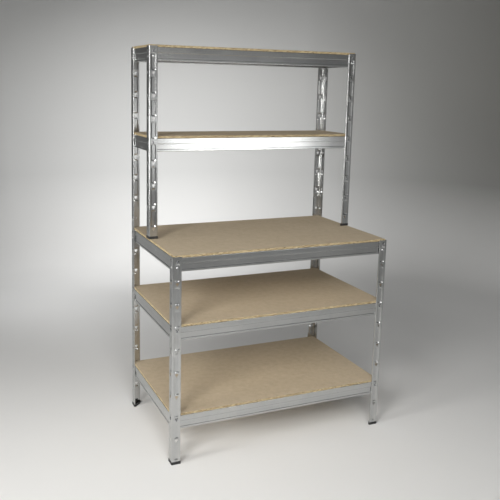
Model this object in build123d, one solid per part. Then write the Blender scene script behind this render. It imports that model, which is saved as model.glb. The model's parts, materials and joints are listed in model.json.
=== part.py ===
from build123d import *
import os

# Workbench with shelving: a galvanised keyhole rack.  The lower unit is deep
# and carries the worktop, the upper unit is shallow and stands at the rear.
# Millimetres, +Z up, +X right and -Y front.  The origin is on the floor at
# the middle of the footprint.

# ---------------------------------------------------------------- dimensions
WIDTH = 1060.0            # over the outer faces of the posts
DEPTH_LOW = 640.0         # lower unit, front post face to rear post face
DEPTH_UP = 300.0          # upper unit, front post face to rear post face

PITCH = 100.0             # keyhole spacing along a post
SLOT_LOW = 109.0          # lowest keyhole of a lower post
SLOT_UP = 977.0           # lowest keyhole of an upper post
SLOTS = 9                 # keyholes in each leg of a post

LEG = 40.0                # width of a post leg
SHEET = 1.5               # steel thickness of posts, beams and splices
CORNER_R = 4.0            # outer bend radius of a post
LIP = 3.7                 # depth of the folded free edge of a post leg
LEG_MID = 21.0            # corner to the centre line of keyholes and pills

PILL_W = 24.0             # pressed recess, width at the face
PILL_GAP = 22.0           # flat part between two recesses
PILL_DEPTH = 2.0
PILL_TAPER = 5.5          # width of the recess's sloping side
PILL_R = 9.0

KEY_WIDE = 14.4           # upper part of a keyhole
KEY_TALL = 9.4
KEY_NARROW = 6.6          # lower part of a keyhole, where the shank sits
KEY_RISE = 7.0            # shank centre to the centre of the upper part
KEY_DROP = 4.0            # gap centre to the shank centre

BEAM_H = 60.0
BEAM_TOP = 13.0           # top of a beam above its keyhole centre
BEAM_LEDGE = 26.0         # shelf ledge, inwards
BEAM_RETURN = 12.0        # bottom flange, inwards
BEAM_LIP = 6.0            # upturned edge of the bottom flange
BEAM_STEP = 1.5           # depth of the long swage in the web
BEAM_BAND_TOP = 24.0      # swage starts below the top by this much
BEAM_BAND_BOTTOM = 9.0    # and ends above the bottom by this much
BEAM_INSET = 3.8          # beam face behind the post's outer face
BENCH_INSET = 5.4         # the same at worktop level, behind the splices
BEAM_END = 4.2            # beam end clear of the crossing beam's face

BOARD_T = 10.0
BOARD_PLAY = 0.4          # board edge behind the beam face
BOARD_R = 1.0             # small rounding of a board's corners

FOOT_WALL = 1.5           # foot cap outside the post
FOOT_H = 12.0
FOOT_FLOOR = 3.0

SPLICE_LEG = 33.5
SPLICE_HALF = 107.0       # splice length each side of the worktop's top

RIVET_D = 6.0
RIVET_HEAD = 9.0
RIVET_HEAD_H = 1.8
BOLT_D = 5.0
BOLT_HEAD = 9.6
BOLT_HEAD_H = 3.3
LOW_HEAD_H = 1.82         # low head of the splice bolts, as proud as a rivet
NUT_AF = 8.0
NUT_H = 4.0
LOCK_DROP = 28.0          # lock bolt below its keyhole

LEVEL_SLOT = {"bottom_shelf": SLOT_LOW + 1 * PITCH,
              "middle_shelf": SLOT_LOW + 5 * PITCH,
              "worktop": SLOT_LOW + 8 * PITCH,
              "upper_shelf": SLOT_UP + 4 * PITCH,
              "top_shelf": SLOT_UP + 8 * PITCH}
BOARD_UNDER = {k: v + BEAM_TOP for k, v in LEVEL_SLOT.items()}
BOARD_TOP = {k: v + BEAM_TOP + BOARD_T for k, v in LEVEL_SLOT.items()}
BENCH_TOP = BOARD_TOP["worktop"]

HX = WIDTH / 2
HY = DEPTH_LOW / 2
UP_FRONT = HY - DEPTH_UP  # y of the upper unit's front face

LOW_METAL = (FOOT_FLOOR, LEVEL_SLOT["worktop"] + BEAM_TOP + BOARD_T / 2)
UP_METAL = (BENCH_TOP + FOOT_FLOOR, LEVEL_SLOT["top_shelf"] + BEAM_TOP + BOARD_T / 2)

os.makedirs("parts", exist_ok=True)


def save(shape, name):
    shape.label = name
    export_step(shape, "parts/" + name + ".step")


def group(solids):
    flat = []
    for s in solids:
        flat += s.solids()
    return Compound(children=flat)


def one(shape):
    s = shape.solids()
    assert len(s) == 1, len(s)
    return s[0]


# A leg frame: local x runs along the leg from the corner, local y is up and
# local z points out of the leg's outer face.  Leg A of the corner at the
# origin faces -Y, leg B faces -X.
LEG_A = Plane(origin=(0, 0, 0), x_dir=(1, 0, 0), z_dir=(0, -1, 0))
LEG_B = Plane(origin=(0, 0, 0), x_dir=(0, -1, 0), z_dir=(-1, 0, 0))


def on_legs(x, z, depth, shape):
    """Copies of a shape drawn in the leg frame, on both legs of a post."""
    a = LEG_A * Location((x, z, -depth)) * shape
    b = LEG_B * Location((-x, z, -depth)) * shape
    return [a, b]


def pill(width, length, radius, height, shrink):
    """Tapered rounded bar, drawn downwards from its wide face at z = 0."""
    top = RectangleRounded(width, length, radius)
    low = Pos(0, 0, -height) * RectangleRounded(width - 2 * shrink,
                                                length - 2 * shrink,
                                                radius - shrink)
    return loft([top.face(), low.face()], ruled=True)


def keyhole(depth):
    wide = Pos(0, KEY_RISE - KEY_DROP) * SlotOverall(KEY_WIDE, KEY_TALL)
    neck = Pos(0, KEY_RISE / 2 - KEY_DROP) * Rectangle(KEY_NARROW, KEY_RISE)
    low = Pos(0, -KEY_DROP) * Circle(KEY_NARROW / 2)
    return Pos(0, 0, -depth) * extrude(wide + neck + low, depth + 2)


# ------------------------------------------------------------------- posts
def post(z0, z1, slots, pills, bolts):
    """Pressed angle with its corner at the origin and legs along +X, +Y."""
    pts = [(0, 0), (LEG, 0), (LEG, LIP), (LEG - SHEET, LIP),
           (LEG - SHEET, SHEET), (SHEET, SHEET), (SHEET, LEG - SHEET),
           (LIP, LEG - SHEET), (LIP, LEG), (0, LEG)]
    sk = make_face(Polyline(*pts, close=True))

    def near(x, y):
        return [v for v in sk.vertices()
                if abs(v.X - x) < 0.01 and abs(v.Y - y) < 0.01]

    sk = fillet(near(0, 0), CORNER_R)
    sk = fillet(near(SHEET, SHEET), CORNER_R - SHEET)
    sk = fillet(near(LEG, 0) + near(0, LEG), 1.8)
    sk = fillet(near(LEG - SHEET, SHEET) + near(SHEET, LEG - SHEET), 0.5)
    body = Pos(0, 0, z0) * extrude(sk, z1 - z0)

    run = PITCH - PILL_GAP
    slope = PILL_TAPER / PILL_DEPTH
    # the inner side of the sloping wall is one sheet thickness away
    grow = SHEET * ((1 + slope ** 2) ** 0.5 - slope)
    bumps, cuts = [], []
    for zc in pills:
        # the pressed metal stands proud inside and is hollow outside
        back = 0.3
        wide = grow + back * slope
        bumps += on_legs(LEG_MID, zc, SHEET - back,
                         pill(PILL_W + 2 * wide, run + 2 * wide, PILL_R + wide,
                              PILL_DEPTH + back, (PILL_DEPTH + back) * slope))
        wide = 0.4 * slope
        cuts += on_legs(LEG_MID, zc, -0.4,
                        pill(PILL_W + 2 * wide, run + 2 * wide, PILL_R + wide,
                             PILL_DEPTH + 0.4, (PILL_DEPTH + 0.4) * slope))
    for zc in slots:
        cuts += on_legs(LEG_MID, zc, 0, keyhole(LIP + 1))
    for zc in bolts:
        hole = Pos(0, 0, -8) * extrude(Circle(BOLT_D / 2 + 0.25), 12)
        cuts += on_legs(LEG_MID, zc, 0, hole)
    body = body.fuse(*bumps)
    body = body.cut(*cuts)
    return one(body)


low_slots = [SLOT_LOW + PITCH * i for i in range(SLOTS)]
up_slots = [SLOT_UP + PITCH * i for i in range(SLOTS)]
low_pills = [z - PITCH / 2 for z in low_slots]
up_pills = [z - PITCH / 2 for z in up_slots[1:]]

low_post = post(LOW_METAL[0], LOW_METAL[1], low_slots, low_pills,
                [LEVEL_SLOT["worktop"] - LOCK_DROP])
up_post = post(UP_METAL[0], UP_METAL[1], up_slots, up_pills,
               [LEVEL_SLOT["top_shelf"] - LOCK_DROP])

# Corner name: position of the outer corner and turn of the angle.
LOW_CORNERS = {"front_left": ((-HX, -HY), 0), "front_right": ((HX, -HY), 90),
               "rear_right": ((HX, HY), 180), "rear_left": ((-HX, HY), 270)}
UP_CORNERS = {"front_left": ((-HX, UP_FRONT), 0),
              "front_right": ((HX, UP_FRONT), 90),
              "rear_right": ((HX, HY), 180), "rear_left": ((-HX, HY), 270)}


def at(corner, shape):
    (x, y), turn = corner
    return Pos(x, y, 0) * Rot(0, 0, turn) * shape


for key, corner in LOW_CORNERS.items():
    save(at(corner, low_post), "lower_post_" + key)
for key, corner in UP_CORNERS.items():
    save(at(corner, up_post), "upper_post_" + key)


# -------------------------------------------------------------------- feet
def foot():
    """Moulded cap around the end of a post, with a triangular sole."""
    w = FOOT_WALL
    far = LEG + w + 0.3
    nose = 7.0
    sole = make_face(Polyline((-w, -w), (far, -w), (far, nose), (nose, far),
                              (-w, far), close=True))
    sole = fillet([v for v in sole.vertices()
                   if v.X < 0 and v.Y < 0], CORNER_R + w)
    sole = fillet([v for v in sole.vertices()
                   if v.X > far - 0.1 or v.Y > far - 0.1], 1.6)
    cap = extrude(sole, FOOT_H)
    cap = chamfer(cap.faces().sort_by(Axis.Z)[0].edges(), 0.8)
    # groove that the post end drops into
    g = 0.2
    groove = make_face(Polyline((-g, -g), (LEG + g, -g), (LEG + g, LIP + g),
                                (LIP + g, LIP + g), (LIP + g, LEG + g),
                                (-g, LEG + g), close=True))
    groove = fillet([v for v in groove.vertices()
                     if abs(v.X + g) < 0.01 and abs(v.Y + g) < 0.01],
                    CORNER_R + g)
    cap -= Pos(0, 0, FOOT_FLOOR) * extrude(groove, FOOT_H)
    # hollow of the triangle, open at the top
    a = LIP + g + 2.0
    b = LEG - 1.5
    pocket = make_face(Polyline((a, a), (b - a + 1.0, a), (a, b - a + 1.0),
                                close=True))
    pocket = fillet(pocket.vertices(), 1.0)
    cap -= Pos(0, 0, FOOT_FLOOR) * extrude(pocket, FOOT_H)
    # grip ribs under the sole
    for off in (10.0, 16.0, 22.0):
        rib = Pos(off / 2, off / 2, 0) * Rot(0, 0, 45) * Box(2.0, off * 1.1, 1.0)
        cap -= rib
    return one(cap)


cap = foot()
for key, corner in LOW_CORNERS.items():
    save(at(corner, cap), "foot_" + key)
for key in ("front_left", "front_right"):
    save(at(UP_CORNERS[key], Pos(0, 0, BENCH_TOP) * cap), "upper_foot_" + key)


# ----------------------------------------------------------------- splices
def splice():
    """Angle inside two stacked posts; its rib fills the gap between them."""
    o = LIP + 0.1
    L = SPLICE_LEG
    pts = [(o, o), (o + L, o), (o + L, o + SHEET), (o + SHEET, o + SHEET),
           (o + SHEET, o + L), (o, o + L)]
    sk = make_face(Polyline(*pts, close=True))
    sk = fillet([v for v in sk.vertices()
                 if abs(v.X - o) < 0.01 and abs(v.Y - o) < 0.01], 2.5)
    sk = fillet([v for v in sk.vertices()
                 if abs(v.X - o - SHEET) < 0.01
                 and abs(v.Y - o - SHEET) < 0.01], 1.0)
    body = Pos(0, 0, BENCH_TOP - SPLICE_HALF) * extrude(sk, 2 * SPLICE_HALF)
    # clipped lower and upper corners of each leg
    for z in (BENCH_TOP - SPLICE_HALF, BENCH_TOP + SPLICE_HALF):
        for turn in (0, 1):
            nick = Rot(0, 45, 0) * Box(8, 30, 8)
            nick = Pos(o + L, 0, z) * nick
            if turn:
                nick = Rot(0, 0, 90) * Pos(o + L, 0, z) * Rot(0, 45, 0) * Box(8, 30, 8)
            body -= nick
    # stop rib between the two post ends
    rib = make_face(Polyline((0, 0), (LEG - 3, 0), (LEG - 3, o + 0.4),
                             (o + 0.4, o + 0.4), (o + 0.4, LEG - 3),
                             (0, LEG - 3), close=True))
    rib = fillet([v for v in rib.vertices()
                  if abs(v.X) < 0.01 and abs(v.Y) < 0.01], CORNER_R)
    body += Pos(0, 0, LOW_METAL[1] + 0.1) * extrude(
        rib, UP_METAL[0] - LOW_METAL[1] - 0.2)
    cuts = []
    shank = LEVEL_SLOT["worktop"] - KEY_DROP
    cuts += on_legs(LEG_MID, shank, 0,
                    Pos(0, 0, -9) * extrude(Circle(RIVET_D / 2 + 1.2), 12))
    for z in (LEVEL_SLOT["worktop"] - LOCK_DROP, SLOT_UP - KEY_DROP):
        cuts += on_legs(LEG_MID, z, 0,
                        Pos(0, 0, -9) * extrude(Circle(BOLT_D / 2 + 0.25), 12))
    body = body.cut(*cuts)
    return one(body)


joiner = splice()
save(at(LOW_CORNERS["rear_left"], joiner), "splice_rear_left")
save(at(LOW_CORNERS["rear_right"], joiner), "splice_rear_right")


# ------------------------------------------------------------------- beams
def beam_profile(ledge=BEAM_LEDGE):
    """Section of a beam: x inwards from its outer face, y down from its top."""
    s, st = SHEET, BEAM_STEP
    t1, t2 = -BEAM_BAND_TOP, -(BEAM_BAND_TOP + 2.0)
    b1, b2 = -(BEAM_H - BEAM_BAND_BOTTOM - 2.0), -(BEAM_H - BEAM_BAND_BOTTOM)
    R, U = BEAM_RETURN, BEAM_LIP
    pts = [(ledge, 0), (0, 0), (0, t1), (st, t2), (st, b1), (0, b2),
           (0, -BEAM_H), (R, -BEAM_H), (R, -BEAM_H + U),
           (R - s, -BEAM_H + U), (R - s, -BEAM_H + s), (s, -BEAM_H + s),
           (s, b2 - 0.5), (st + s, b1 - 0.5), (st + s, t2 + 0.5),
           (s, t1 + 0.5), (s, -s), (ledge, -s)]
    sk = make_face(Polyline(*pts, close=True))

    def near(x, y):
        return [v for v in sk.vertices()
                if abs(v.X - x) < 0.01 and abs(v.Y - y) < 0.01]

    sk = fillet(near(0, 0) + near(0, -BEAM_H), 2.2)
    sk = fillet(near(s, -s) + near(s, -BEAM_H + s), 0.7)
    sk = fillet(near(R, -BEAM_H), 1.8)
    return sk


def beam(length, inset, cut_back, bolts):
    """Beam centred on x, seen from the front; outer face at y = inset.

    Its length is over the outer faces of the two posts.  cut_back trims the
    ledge and the bottom flange of a side beam clear of the long beams.
    """
    half = length / 2 - inset - BEAM_END
    # local x of the profile goes inwards (+Y), local y is up
    pl = Plane(origin=(-half, inset, 0), x_dir=(0, 1, 0), z_dir=(1, 0, 0))
    body = extrude(pl * beam_profile(), 2 * half)
    if cut_back:
        keep = length / 2 - cut_back
        for sx in (-1, 1):
            body -= Pos(sx * (keep + 50), inset + SHEET + BEAM_STEP + 0.2 + 25,
                        -BEAM_H / 2) * Box(100, 50, BEAM_H + 4)
            body -= Pos(sx * (keep + 50), inset + SHEET + BEAM_STEP + 25, -1.0) * Box(
                100, 50, 2.4)
    cuts = []
    for sx in (-1, 1):
        x = sx * (length / 2 - LEG_MID)
        cuts.append(Pos(x, inset + 5, -(BEAM_TOP + KEY_DROP)) * Rot(90, 0, 0)
                    * Cylinder(RIVET_D / 2 + 0.1, 20))
        if bolts:
            cuts.append(Pos(x, inset + 5, -(BEAM_TOP + LOCK_DROP)) * Rot(90, 0, 0)
                        * Cylinder(BOLT_D / 2 + 0.25, 20))
    body = body.cut(*cuts)
    return one(body)


def sides(level):
    upper = level in ("upper_shelf", "top_shelf")
    y0 = UP_FRONT if upper else -HY
    return y0, HY


for level, zc in LEVEL_SLOT.items():
    inset = BENCH_INSET if level == "worktop" else BEAM_INSET
    bolts = level in ("worktop", "top_shelf")
    y0, y1 = sides(level)
    top = zc + BEAM_TOP
    long_beam = beam(WIDTH, inset, 0, bolts)
    save(Pos(0, y0, top) * long_beam, level + "_beam_front")
    save(Pos(0, y1, top) * Rot(0, 0, 180) * long_beam, level + "_beam_rear")
    short_beam = beam(y1 - y0, inset, inset + BEAM_LEDGE + 1.5, bolts)
    mid = (y0 + y1) / 2
    save(Pos(-HX, mid, top) * Rot(0, 0, 270) * short_beam, level + "_beam_left")
    save(Pos(HX, mid, top) * Rot(0, 0, 90) * short_beam, level + "_beam_right")


# ------------------------------------------------------------------ boards
for level in LEVEL_SLOT:
    inset = (BENCH_INSET if level == "worktop" else BEAM_INSET) + BOARD_PLAY
    y0, y1 = sides(level)
    sk = Rectangle(WIDTH - 2 * inset, (y1 - y0) - 2 * inset)
    sk = fillet(sk.vertices(), BOARD_R)
    board = Pos(0, (y0 + y1) / 2, BOARD_UNDER[level]) * extrude(sk, BOARD_T)
    save(one(board), level + "_board")


# --------------------------------------------------------------- fasteners
def rivet(inset):
    """Shouldered rivet of a beam end, axis along local z, out of the post."""
    tail = -(inset + SHEET)
    r, h = RIVET_HEAD / 2, RIVET_HEAD_H
    body = Pos(0, 0, tail) * extrude(Circle(RIVET_D / 2), 0.02 - tail)
    head = Pos(0, 0, 0.02) * extrude(Circle(r), h)
    head = fillet(head.faces().sort_by(Axis.Z)[-1].edges(), h * 0.8)
    foot_ = Pos(0, 0, tail - 1.4) * extrude(Circle(r * 0.95), 1.4)
    foot_ = chamfer(foot_.faces().sort_by(Axis.Z)[0].edges(), 0.6)
    return one(body + head + foot_)


def bolt(seat, length, height):
    """Round head screw whose head sits at local z = -seat."""
    head = Pos(0, 0, -seat) * extrude(Circle(BOLT_HEAD / 2), height)
    head = fillet(head.faces().sort_by(Axis.Z)[-1].edges(), height * 0.75)
    # cross recess
    for turn in (0, 90):
        head -= Pos(0, 0, -seat + height) * Rot(0, 0, turn) * Box(
            5.0, 1.1, height * 0.8)
    shank = Pos(0, 0, -seat - length) * extrude(Circle(BOLT_D / 2), length)
    shank = chamfer(shank.faces().sort_by(Axis.Z)[0].edges(), 0.5)
    return one(head + shank)


def nut(seat):
    body = Pos(0, 0, -seat - NUT_H) * extrude(
        RegularPolygon(NUT_AF / 2, 6, major_radius=False), NUT_H)
    body = chamfer(body.faces().sort_by(Axis.Z)[0].edges(), 0.5)
    body -= Pos(0, 0, -seat - NUT_H - 1) * extrude(Circle(BOLT_D / 2 + 0.02), NUT_H + 2)
    return one(body)


for level, zc in LEVEL_SLOT.items():
    inset = BENCH_INSET if level == "worktop" else BEAM_INSET
    corners = UP_CORNERS if level in ("upper_shelf", "top_shelf") else LOW_CORNERS
    pin = rivet(inset)
    out = []
    for corner in corners.values():
        for p in on_legs(LEG_MID, zc - KEY_DROP, 0, pin):
            out.append(at(corner, p))
    save(group(out), level + "_rivets")

sets = {
    "worktop_lock": (LOW_CORNERS, LEVEL_SLOT["worktop"] - LOCK_DROP, PILL_DEPTH,
                     BENCH_INSET + BEAM_STEP + SHEET),
    "top_shelf_lock": (UP_CORNERS, LEVEL_SLOT["top_shelf"] - LOCK_DROP,
                       PILL_DEPTH, BEAM_INSET + BEAM_STEP + SHEET),
    "splice": ({k: v for k, v in UP_CORNERS.items() if k.startswith("rear")},
               SLOT_UP - KEY_DROP, 0.0, LIP + 0.1 + SHEET),
}
for name, (corners, z, seat, grip) in sets.items():
    height = LOW_HEAD_H if name == "splice" else BOLT_HEAD_H
    screw = bolt(seat, grip - seat + NUT_H + 1.0, height)
    hexnut = nut(grip)
    screws, nuts = [], []
    for corner in corners.values():
        screws += [at(corner, p) for p in on_legs(LEG_MID, z, 0, screw)]
        nuts += [at(corner, p) for p in on_legs(LEG_MID, z, 0, hexnut)]
    save(group(screws), name + "_bolts")
    save(group(nuts), name + "_nuts")

print("levels", BOARD_TOP)
print("post metal", LOW_METAL, UP_METAL)
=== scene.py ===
import bpy
import bmesh
import json
import math
import numpy as np
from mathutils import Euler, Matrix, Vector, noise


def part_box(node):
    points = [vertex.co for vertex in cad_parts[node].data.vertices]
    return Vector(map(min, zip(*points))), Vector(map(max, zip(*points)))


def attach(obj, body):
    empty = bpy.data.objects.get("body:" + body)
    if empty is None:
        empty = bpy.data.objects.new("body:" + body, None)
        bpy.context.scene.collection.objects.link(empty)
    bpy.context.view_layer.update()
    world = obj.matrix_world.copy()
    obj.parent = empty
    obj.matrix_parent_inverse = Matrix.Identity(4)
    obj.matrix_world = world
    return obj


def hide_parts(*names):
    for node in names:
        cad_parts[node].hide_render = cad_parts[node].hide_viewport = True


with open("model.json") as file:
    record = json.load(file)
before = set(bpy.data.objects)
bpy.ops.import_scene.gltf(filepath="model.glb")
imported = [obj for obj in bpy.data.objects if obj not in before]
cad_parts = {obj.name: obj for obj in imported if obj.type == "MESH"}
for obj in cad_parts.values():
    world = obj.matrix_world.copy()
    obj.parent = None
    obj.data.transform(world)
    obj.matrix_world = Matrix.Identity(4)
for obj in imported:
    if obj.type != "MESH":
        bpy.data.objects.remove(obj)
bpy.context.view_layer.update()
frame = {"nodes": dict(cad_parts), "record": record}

NODES = frame["nodes"]
scene = bpy.context.scene


# ------------------------------------------------------------ node helpers
class Mat:
    """Short way to write a node material."""

    def __init__(self, name):
        self.mat = bpy.data.materials.new(name)
        self.mat.use_nodes = True
        self.t = self.mat.node_tree
        self.t.nodes.clear()
        self.out = self.t.nodes.new("ShaderNodeOutputMaterial")
        self.b = self.t.nodes.new("ShaderNodeBsdfPrincipled")
        self.t.links.new(self.b.outputs[0], self.out.inputs[0])
        self.coord = self.t.nodes.new("ShaderNodeTexCoord").outputs["Object"]

    def link(self, a, b):
        self.t.links.new(a, b)

    def node(self, kind, **props):
        n = self.t.nodes.new("ShaderNode" + kind)
        for k, v in props.items():
            setattr(n, k, v)
        return n

    def scaled(self, scale, offset=(0, 0, 0)):
        m = self.node("Mapping")
        m.inputs["Scale"].default_value = scale
        m.inputs["Location"].default_value = offset
        self.link(self.coord, m.inputs["Vector"])
        return m.outputs[0]

    def noise(self, scale, vec=None, detail=3.0, rough=0.55, distort=0.0, out="Fac"):
        n = self.node("TexNoise")
        n.inputs["Scale"].default_value = scale
        n.inputs["Detail"].default_value = detail
        n.inputs["Roughness"].default_value = rough
        n.inputs["Distortion"].default_value = distort
        self.link(vec or self.coord, n.inputs["Vector"])
        return n.outputs[out]

    def voronoi(self, scale, vec=None, out="Color", feature="F1", randomness=1.0):
        n = self.node("TexVoronoi", feature=feature)
        n.inputs["Scale"].default_value = scale
        n.inputs["Randomness"].default_value = randomness
        self.link(vec or self.coord, n.inputs["Vector"])
        return n.outputs[out]

    def ramp(self, fac, stops, interp="LINEAR"):
        n = self.node("ValToRGB")
        n.color_ramp.interpolation = interp
        while len(n.color_ramp.elements) > 1:
            n.color_ramp.elements.remove(n.color_ramp.elements[-1])
        n.color_ramp.elements[0].position = stops[0][0]
        n.color_ramp.elements[0].color = rgba(stops[0][1])
        for p, c in stops[1:]:
            e = n.color_ramp.elements.new(p)
            e.color = rgba(c)
        self.link(fac, n.inputs[0])
        return n.outputs[0]

    def mix(self, kind, fac, a, b):
        n = self.node("Mix", data_type="RGBA", blend_type=kind)
        for sock, v in (("Factor", fac), ("A", a), ("B", b)):
            i = [s for s in n.inputs if s.name == sock and s.enabled][0]
            if hasattr(v, "links"):
                self.link(v, i)
            else:
                i.default_value = v if sock == "Factor" else rgba(v)
        return [o for o in n.outputs if o.enabled][0]

    def math(self, op, a, b=None, clamp=False):
        n = self.node("Math", operation=op, use_clamp=clamp)
        for i, v in enumerate((a, b)):
            if v is None:
                continue
            if hasattr(v, "links"):
                self.link(v, n.inputs[i])
            else:
                n.inputs[i].default_value = v
        return n.outputs[0]

    def range(self, v, lo, hi, a=0.0, b=1.0):
        n = self.node("MapRange")
        n.inputs["From Min"].default_value = a
        n.inputs["From Max"].default_value = b
        n.inputs["To Min"].default_value = lo
        n.inputs["To Max"].default_value = hi
        self.link(v, n.inputs["Value"])
        return n.outputs[0]

    def bump(self, height, distance, strength=1.0, under=None):
        n = self.node("Bump")
        n.inputs["Strength"].default_value = strength
        n.inputs["Distance"].default_value = distance
        self.link(height, n.inputs["Height"])
        if under is not None:
            self.link(under, n.inputs["Normal"])
        return n.outputs[0]

    def set(self, **values):
        for k, v in values.items():
            name = k.replace("_", " ")
            s = self.b.inputs[name]
            if hasattr(v, "links"):
                self.link(v, s)
            else:
                s.default_value = rgba(v) if isinstance(v, tuple) else v
        return self.mat


def rgba(c):
    if isinstance(c, (int, float)):
        return (c, c, c, 1.0)
    return tuple(c) if len(c) == 4 else tuple(c) + (1.0,)


def srgb(r, g, b):
    def lin(v):
        v /= 255.0
        return v / 12.92 if v <= 0.04045 else ((v + 0.055) / 1.055) ** 2.4
    return (lin(r), lin(g), lin(b))


# ---------------------------------------------------------------- materials
def galvanised(name, axis, tone=1.0, seed=0.0):
    """Semi-bright zinc coat on strip steel; drawn lines run along axis."""
    m = Mat(name)
    off = (seed * 3.1, seed * 1.7, seed * 2.3)
    lines = m.scaled(tuple(0.9 if i == axis else 430.0 for i in range(3)), off)
    marks = m.scaled(tuple(1.3 if i == axis else 170.0 for i in range(3)), off)
    wide = m.scaled(tuple(0.5 if i == axis else 42.0 for i in range(3)), off)
    fine = m.noise(1.0, lines, detail=1.5, rough=0.5)
    roll = m.noise(1.0, marks, detail=1.0, rough=0.5)
    broad = m.noise(1.0, wide, detail=1.0, rough=0.5)
    cloud = m.noise(5.5, m.scaled((1, 1, 1), off), detail=4.0, rough=0.6, distort=0.4)
    spangle = m.voronoi(115.0, m.scaled((1, 1, 1), off), out="Color")
    grey = m.node("RGBToBW")
    m.link(spangle, grey.inputs[0])
    cells = grey.outputs[0]
    base = m.ramp(broad, [(0.30, (0.545 * tone, 0.550 * tone, 0.552 * tone)),
                          (0.50, (0.570 * tone, 0.573 * tone, 0.570 * tone)),
                          (0.70, (0.592 * tone, 0.594 * tone, 0.588 * tone))])
    dull = m.ramp(cloud, [(0.34, (0.93, 0.935, 0.94)), (0.56, (1.0, 1.0, 1.0)),
                          (0.76, (1.03, 1.03, 1.02))])
    base = m.mix("MULTIPLY", 1.0, base, dull)
    spang = m.ramp(cells, [(0.1, (0.965, 0.97, 0.975)), (0.9, (1.03, 1.03, 1.025))])
    base = m.mix("MULTIPLY", 0.8, base, spang)
    scratch = m.ramp(fine, [(0.34, (0.95, 0.952, 0.955)), (0.50, (1.0, 1.0, 1.0)),
                            (0.68, (1.03, 1.03, 1.03))])
    base = m.mix("MULTIPLY", 0.5, base, scratch)
    base = m.mix("MULTIPLY", 0.45, base,
                 m.ramp(roll, [(0.27, (0.84, 0.845, 0.855)), (0.38, (1.0, 1.0, 1.0))]))
    r1 = m.range(cloud, 0.225, 0.265, 0.3, 0.75)
    r2 = m.range(fine, -0.01, 0.012, 0.3, 0.7)
    r3 = m.range(cells, -0.012, 0.012)
    rough = m.math("ADD", m.math("ADD", r1, r2), r3, clamp=True)
    wave = m.noise(7.0, m.scaled(tuple(0.35 if i == axis else 1.6 for i in range(3)), off),
                   detail=1.0)
    nrm = m.bump(wave, 0.00015, 0.6)
    nrm = m.bump(broad, 0.00001, 0.6, nrm)
    nrm = m.bump(fine, 0.000004, 0.6, nrm)
    return m.set(Base_Color=base, Roughness=rough, Metallic=1.0, Normal=nrm)


def plastic():
    m = Mat("black_plastic")
    grain = m.noise(1400.0, detail=3.0)
    dust = m.noise(90.0, detail=4.0, rough=0.7)
    base = m.ramp(dust, [(0.4, (0.010, 0.010, 0.011)), (0.75, (0.030, 0.029, 0.028))])
    rough = m.range(dust, 0.38, 0.62)
    nrm = m.bump(grain, 0.00012, 0.5)
    return m.set(Base_Color=base, Roughness=rough, Normal=nrm)


def zinc():
    m = Mat("bright_zinc")
    n = m.noise(260.0, detail=3.0)
    base = m.ramp(n, [(0.3, (0.62, 0.63, 0.65)), (0.7, (0.80, 0.80, 0.79))])
    nrm = m.bump(m.noise(700.0, detail=2.0), 0.00008, 0.5)
    return m.set(Base_Color=base, Roughness=m.range(n, 0.20, 0.36), Metallic=1.0,
                 Normal=nrm)


def rivet_steel_painted_shade():
    """Headed rivets with a dark, dull base colour: painted shade standing in for the shade inside the
    keyholes around them.
    """
    m = Mat("rivet_steel_painted_shade")
    n = m.noise(320.0, detail=3.0)
    # Dark base colour: painted shade, not a finish the rivets have.
    base = m.ramp(n, [(0.3, (0.20, 0.205, 0.215)), (0.7, (0.34, 0.345, 0.35))])
    nrm = m.bump(m.noise(900.0, detail=2.0), 0.00006, 0.5)
    return m.set(Base_Color=base, Roughness=m.range(n, 0.36, 0.50), Metallic=1.0,
                 Normal=nrm)


def board_face():
    """Smooth brown pressed face: faint clouds, fine fibre and dark flecks."""
    m = Mat("board_face")
    cloud = m.noise(2.6, detail=3.0, rough=0.5, distort=0.5)
    mott = m.noise(38.0, detail=4.0, rough=0.6)
    fibre = m.noise(520.0, detail=3.0, rough=0.7)
    fleck = m.voronoi(330.0, out="Distance")
    base = m.ramp(cloud, [(0.30, (0.506, 0.418, 0.298)), (0.50, (0.525, 0.435, 0.314)),
                          (0.72, (0.543, 0.452, 0.329))])
    base = m.mix("MULTIPLY", 1.0, base,
                 m.ramp(mott, [(0.32, (0.93, 0.925, 0.915)), (0.52, (1.0, 1.0, 1.0)),
                               (0.70, (1.05, 1.05, 1.05))]))
    base = m.mix("MULTIPLY", 1.0, base,
                 m.ramp(fibre, [(0.30, (0.88, 0.87, 0.85)), (0.50, (1.0, 1.0, 1.0)),
                                (0.72, (1.10, 1.10, 1.10))]))
    pick = m.ramp(m.noise(70.0, detail=2.0), [(0.54, 0.0), (0.62, 1.0)])
    dark = m.ramp(fleck, [(0.10, (0.74, 0.71, 0.66)), (0.24, (1.0, 1.0, 1.0))])
    base = m.mix("MULTIPLY", pick, base, dark)
    rough = m.math("ADD", m.range(mott, 0.66, 0.78), m.range(fibre, -0.05, 0.05))
    nrm = m.bump(mott, 0.00025, 0.35)
    nrm = m.bump(fibre, 0.00006, 0.5, nrm)
    return m.set(Base_Color=base, Roughness=rough, Normal=nrm, Specular_IOR_Level=0.12)


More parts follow.
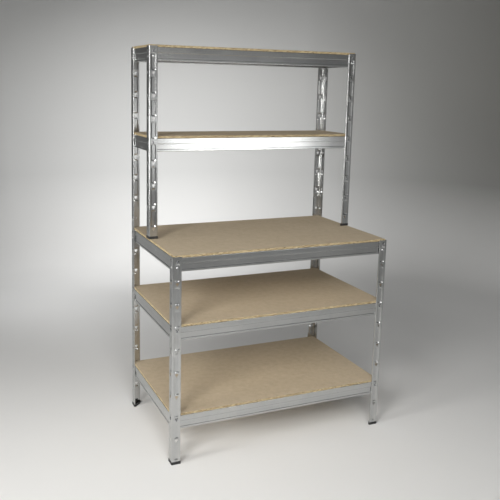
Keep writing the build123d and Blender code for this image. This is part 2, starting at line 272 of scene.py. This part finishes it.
def board_edge():
    """Raw sawn chipboard: pale flakes lying flat, with dark pores."""
    m = Mat("board_edge")
    flat = m.scaled((150.0, 150.0, 520.0))
    fine = m.scaled((420.0, 420.0, 900.0), (3.0, 1.0, 2.0))
    chips = m.voronoi(1.0, flat, out="Color")
    g = m.node("RGBToBW")
    m.link(chips, g.inputs[0])
    base = m.ramp(g.outputs[0], [(0.12, srgb(98, 82, 56)), (0.30, srgb(146, 128, 94)),
                                 (0.50, srgb(180, 163, 127)), (0.70, srgb(206, 191, 157)),
                                 (0.88, srgb(156, 136, 100))])
    bits = m.noise(1.0, fine, detail=4.0, rough=0.7)
    base = m.mix("MULTIPLY", 1.0, base,
                 m.ramp(bits, [(0.30, (0.62, 0.55, 0.44)), (0.44, (0.95, 0.93, 0.89)),
                               (0.60, (1.0, 1.0, 1.0)), (0.75, (1.07, 1.07, 1.06))]))
    pores = m.voronoi(1.0, m.scaled((230.0, 230.0, 480.0), (7.0, 2.0, 5.0)),
                      out="Distance")
    some = m.ramp(m.noise(60.0, detail=3.0), [(0.38, 0.0), (0.50, 1.0)])
    base = m.mix("MULTIPLY", some, base,
                 m.ramp(pores, [(0.16, (0.34, 0.26, 0.17)), (0.36, (1.0, 1.0, 1.0))]))
    rough = m.range(bits, 0.70, 0.92)
    nrm = m.bump(bits, 0.0005, 0.8)
    nrm = m.bump(g.outputs[0], 0.0004, 0.5, nrm)
    return m.set(Base_Color=base, Roughness=rough, Normal=nrm)


def stage_mat_painted_falloff():
    m = Mat("studio")
    n = m.noise(1.2, detail=3.0)
    base = m.ramp(n, [(0.3, (0.805, 0.80, 0.785)), (0.7, (0.825, 0.82, 0.805))])
    sep = m.node("SeparateXYZ")
    m.link(m.coord, sep.inputs[0])
    # Colour blends from the pale floor to a darker wall above 3 cm, and the wall darkens further
    # towards +x and towards the rear-left: painted shade, standing in for light falling off across the
    # backdrop.
    up = m.range(sep.outputs[2], 0.0, 1.0, 0.03, 0.7)
    side = m.range(sep.outputs[0], 0.0, 1.0, 2.4, 4.2)
    wall = m.mix("MIX", side, (0.60, 0.60, 0.59), (0.185, 0.183, 0.167))
    rear = m.math("MULTIPLY", m.range(sep.outputs[0], 0.0, 1.0, -0.7, -2.0),
                  m.range(sep.outputs[1], 0.0, 1.0, 2.4, 3.6))
    wall = m.mix("MIX", rear, wall, (0.20, 0.20, 0.195))
    base = m.mix("MIX", up, base, wall)
    return m.set(Base_Color=base, Roughness=0.7, Specular_IOR_Level=0.2)


AXIS_OF = {"x": galvanised("galvanised_x", 0, 1.0, 0.0),
           "y": galvanised("galvanised_y", 1, 1.0, 4.0),
           "z": galvanised("galvanised_z", 2, 1.0, 9.0)}
PLASTIC = plastic()
ZINC = zinc()
RIVET_PAINTED_SHADE = rivet_steel_painted_shade()
FACE = board_face()
EDGE = board_edge()


def dress(ob, mat):
    ob.data.materials.clear()
    ob.data.materials.append(mat)


for name, ob in NODES.items():
    if name.endswith("_board"):
        continue
    if name.endswith("_rivets"):
        # Rivets take the dark rivet material: painted shade in the keyholes.
        dress(ob, RIVET_PAINTED_SHADE)
    elif name.endswith(("_bolts", "_nuts")):
        dress(ob, ZINC)
    elif "foot" in name:
        dress(ob, PLASTIC)
    elif name.endswith(("_beam_front", "_beam_rear")):
        dress(ob, AXIS_OF["x"])
    elif name.endswith(("_beam_left", "_beam_right")):
        dress(ob, AXIS_OF["y"])
    else:
        dress(ob, AXIS_OF["z"])


# ------------------------------------------------------------------- boards
def make_board(node, body, seed):
    """A sawn board: flat faces, a broken arris and a torn, pitted edge."""
    lo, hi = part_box(node)
    step = 0.0022
    nx = int(round((hi.x - lo.x) / step))
    ny = int(round((hi.y - lo.y) / step))
    loop = []
    for i in range(nx):
        loop.append((lo.x + (hi.x - lo.x) * i / nx, lo.y, 0, -1))
    for i in range(ny):
        loop.append((hi.x, lo.y + (hi.y - lo.y) * i / ny, 1, 0))
    for i in range(nx):
        loop.append((hi.x - (hi.x - lo.x) * i / nx, hi.y, 0, 1))
    for i in range(ny):
        loop.append((lo.x, hi.y - (hi.y - lo.y) * i / ny, -1, 0))
    n = len(loop)
    t = hi.z - lo.z
    rows = [0.0, 0.0005, 0.0016, 0.0030, 0.0044, 0.0058, 0.0072, 0.0085, 0.0095, t]
    inset = [0.0006, 0.0001, 0.0, 0.0, 0.0, 0.0, 0.0, 0.0, 0.0001, 0.0005]
    cx, cy = (lo.x + hi.x) / 2, (lo.y + hi.y) / 2
    verts, faces, mats = [], [], []
    for r, (dz, ins) in enumerate(zip(rows, inset)):
        for x, y, ox, oy in loop:
            z = lo.z + dz
            p = Vector((x * 300.0 + seed, y * 300.0, z * 800.0))
            q = Vector((x * 90.0 - seed, y * 90.0, z * 350.0))
            pit = max(0.0, noise.noise(p)) * 0.00035 + max(0.0, noise.noise(q) - 0.15) * 0.0009
            k = 0.35 if r in (0, len(rows) - 1) else 1.0
            d = min(ins + pit * k, 0.0012)
            # move inwards towards the board's middle from each side it is on
            nxp = x - math.copysign(d, x - cx) if (abs(x - lo.x) < 1e-9 or abs(x - hi.x) < 1e-9) else x
            nyp = y - math.copysign(d, y - cy) if (abs(y - lo.y) < 1e-9 or abs(y - hi.y) < 1e-9) else y
            verts.append((nxp, nyp, z))
    for r in range(len(rows) - 1):
        for i in range(n):
            j = (i + 1) % n
            faces.append((r * n + i, r * n + j, (r + 1) * n + j, (r + 1) * n + i))
            mats.append(1)
    faces.append(tuple(reversed(range(n))))
    mats.append(0)
    faces.append(tuple(range((len(rows) - 1) * n, len(rows) * n)))
    mats.append(0)
    me = bpy.data.meshes.new(node + "_sawn")
    me.from_pydata(verts, [], faces)
    me.materials.append(FACE)
    me.materials.append(EDGE)
    me.polygons.foreach_set("material_index", mats)
    me.update()
    ob = bpy.data.objects.new(node + "_sawn", me)
    scene.collection.objects.link(ob)
    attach(ob, body)
    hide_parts(node)
    return ob


BODY_OF = {}
for body, members in frame["record"]["behaviour"]["bodies"].items():
    for member in members:
        BODY_OF[member] = body
for k, level in enumerate(("bottom_shelf", "middle_shelf", "worktop", "upper_shelf",
                           "top_shelf")):
    make_board(level + "_board", BODY_OF[level + "_board"], 11.7 * (k + 1))


# -------------------------------------------------------------------- stage
def make_stage():
    """Pale floor that sweeps up into a round wall."""
    R, f, top = 4.6, 1.7, 5.4
    prof = [(0.0, 0.0), (1.0, 0.0), (2.0, 0.0), (R - f, 0.0)]
    for i in range(1, 17):
        a = math.pi / 2 * i / 16
        prof.append((R - f + f * math.sin(a), f - f * math.cos(a)))
    prof.append((R, top))
    seg = 96
    verts = [(0.0, 0.0, 0.0)]
    faces = []
    for r, z in prof[1:]:
        for s in range(seg):
            a = 2 * math.pi * s / seg
            verts.append((r * math.cos(a), r * math.sin(a), z))
    for s in range(seg):
        faces.append((0, 1 + s, 1 + (s + 1) % seg))
    for k in range(len(prof) - 2):
        for s in range(seg):
            a, b = 1 + k * seg + s, 1 + k * seg + (s + 1) % seg
            faces.append((a, a + seg, b + seg, b))
    me = bpy.data.meshes.new("studio_floor")
    me.from_pydata(verts, [], faces)
    me.polygons.foreach_set("use_smooth", [True] * len(me.polygons))
    me.materials.append(stage_mat_painted_falloff())
    ob = bpy.data.objects.new("studio_floor", me)
    scene.collection.objects.link(ob)
    return ob


make_stage()


def area(name, loc, target, size, size_y, power, colour=(1, 1, 1), spread=math.pi):
    d = bpy.data.lights.new(name, "AREA")
    d.shape = "RECTANGLE"
    d.size, d.size_y = size, size_y
    d.energy = power
    d.color = colour
    d.spread = spread
    ob = bpy.data.objects.new(name, d)
    ob.location = loc
    ob.rotation_euler = (Vector(target) - Vector(loc)).to_track_quat("-Z", "Y").to_euler()
    ob.visible_camera = False
    scene.collection.objects.link(ob)
    return ob


area("key", (-2.8, -2.5, 2.6), (0.0, 0.0, 0.7), 1.3, 1.3, 28.0, (1.0, 0.99, 0.97),
     math.radians(100))
area("left", (-3.6, -0.75, 1.1), (0.0, 0.0, 0.5), 0.9, 0.9, 19.0, (1.0, 0.99, 0.97),
     math.radians(95))
area("front", (-1.0, -3.8, 2.6), (0.0, 0.0, 0.7), 1.2, 0.9, 16.0, (1.0, 0.995, 0.98),
     math.radians(90))
area("floor", (-1.0, -2.2, 3.4), (-0.7, -1.2, 0.0), 1.0, 0.8, 2.5, (1.0, 0.995, 0.98),
     math.radians(65))
area("strip", (1.13, -2.83, 1.13), (0.05, 0.0, 1.13), 1.20, 0.36, 9.0, (1.0, 1.0, 0.985))
area("wall_left", (-3.0, 2.0, 1.5), (-0.1, 4.3, 0.75), 0.9, 0.9, 4.8, (0.98, 0.99, 1.0),
     math.radians(100))
area("wall_mid", (0.4, 2.5, 1.85), (1.0, 4.2, 0.35), 0.8, 0.8, 18.5, (0.99, 0.99, 0.99),
     math.radians(130))
area("rear_floor", (-1.2, 2.3, 2.4), (-0.3, 2.3, 0.0), 0.8, 0.8, 3.0, (0.98, 0.99, 1.0),
     math.radians(60))

world = bpy.data.worlds.new("world")
scene.world = world
world.use_nodes = True
world.node_tree.nodes["Background"].inputs[0].default_value = (0.92, 0.95, 1.0, 1.0)
world.node_tree.nodes["Background"].inputs[1].default_value = 0.19

# ------------------------------------------------------------------- camera
cam_data = bpy.data.cameras.new("camera")
cam_data.sensor_width = 36.0
cam_data.lens = 50.45
cam_data.shift_x = 0.03
cam_data.shift_y = -0.088
cam_data.clip_start = 0.05
cam_data.clip_end = 60.0
cam = bpy.data.objects.new("camera", cam_data)
cam.location = (-1.4233, -2.9904, 1.6334)
cam.rotation_euler = Euler([math.radians(a) for a in (80.183, -1.188, -23.419)], "XYZ")
scene.collection.objects.link(cam)
scene.camera = cam
scene.view_settings.view_transform = "Standard"
scene.view_settings.look = "None"
